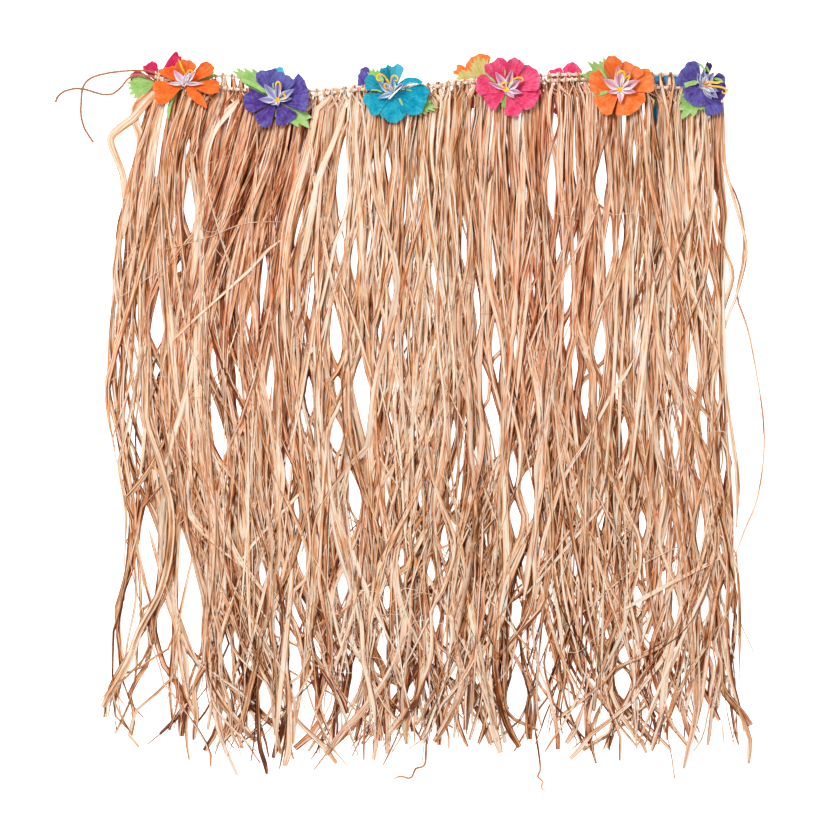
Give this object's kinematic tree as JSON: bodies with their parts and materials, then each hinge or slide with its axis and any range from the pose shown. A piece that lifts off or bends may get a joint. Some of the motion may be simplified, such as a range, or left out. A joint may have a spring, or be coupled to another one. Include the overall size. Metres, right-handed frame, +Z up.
{
  "type": "grass skirt",
  "caption": "Raffia hula wrap skirt with a corded waist, tie ends and fabric hibiscus flowers, folded in half and laid flat.",
  "frame": {"origin": "middle of the folded skirt's outline, without its tie ends, on the surface that it lies on", "axes": "+Y from the hem towards the waist cord, +X towards the fold, +Z up from the surface"},
  "size_m": [0.7935, 0.8247, 0.0516],
  "materials": {
    "raffia": "natural dried leaf fibre, satin",
    "waist_cord": "twisted raffia cord, matt",
    "petal_orange": "stiffened polyester cloth, matt",
    "petal_purple": "stiffened polyester cloth, matt",
    "petal_turquoise": "stiffened polyester cloth, matt",
    "petal_pink": "stiffened polyester cloth, matt",
    "leaf_green": "stiffened polyester cloth, matt",
    "star_lilac": "stiffened polyester cloth, matt",
    "stamen_yellow": "die-cut felt, matt"
  },
  "bodies": {
    "root": {"waist_cord_front": "waist_cord", "waist_cord_back": "waist_cord", "tie_upper": "waist_cord", "tie_lower": "waist_cord", "front_hank_01": "raffia", "front_hank_02": "raffia", "front_hank_03": "raffia", "front_hank_04": "raffia", "front_hank_05": "raffia", "front_hank_06": "raffia", "front_hank_07": "raffia", "front_hank_08": "raffia", "front_hank_09": "raffia", "front_hank_10": "raffia", "front_hank_11": "raffia", "front_hank_12": "raffia", "back_hank_01": "raffia", "back_hank_02": "raffia", "back_hank_03": "raffia", "back_hank_04": "raffia", "back_hank_05": "raffia", "back_hank_06": "raffia", "front_flower_1_leaves": "leaf_green", "front_flower_1_petals": "petal_orange", "front_flower_1_star": "star_lilac", "front_flower_1_stamens": "stamen_yellow", "front_flower_2_leaves": "leaf_green", "front_flower_2_petals": "petal_purple", "front_flower_2_star": "star_lilac", "front_flower_2_stamens": "stamen_yellow", "front_flower_3_leaves": "leaf_green", "front_flower_3_petals": "petal_turquoise", "front_flower_3_star": "star_lilac", "front_flower_3_stamens": "stamen_yellow", "front_flower_4_leaves": "leaf_green", "front_flower_4_petals": "petal_pink", "front_flower_4_star": "star_lilac", "front_flower_4_stamens": "stamen_yellow", "front_flower_5_leaves": "leaf_green", "front_flower_5_petals": "petal_orange", "front_flower_5_star": "star_lilac", "front_flower_5_stamens": "stamen_yellow", "front_flower_6_leaves": "leaf_green", "front_flower_6_petals": "petal_purple", "front_flower_6_star": "star_lilac", "front_flower_6_stamens": "stamen_yellow", "back_flower_1_petals": "petal_pink", "back_flower_1_leaves": "leaf_green", "back_flower_2_petals": "petal_turquoise", "back_flower_2_leaves": "leaf_green", "back_flower_3_petals": "petal_purple", "back_flower_3_leaves": "leaf_green", "back_flower_4_petals": "petal_orange", "back_flower_4_leaves": "leaf_green", "back_flower_5_petals": "petal_pink", "back_flower_5_leaves": "leaf_green", "back_flower_6_petals": "petal_turquoise", "back_flower_6_leaves": "leaf_green"}
  },
  "joints": []
}
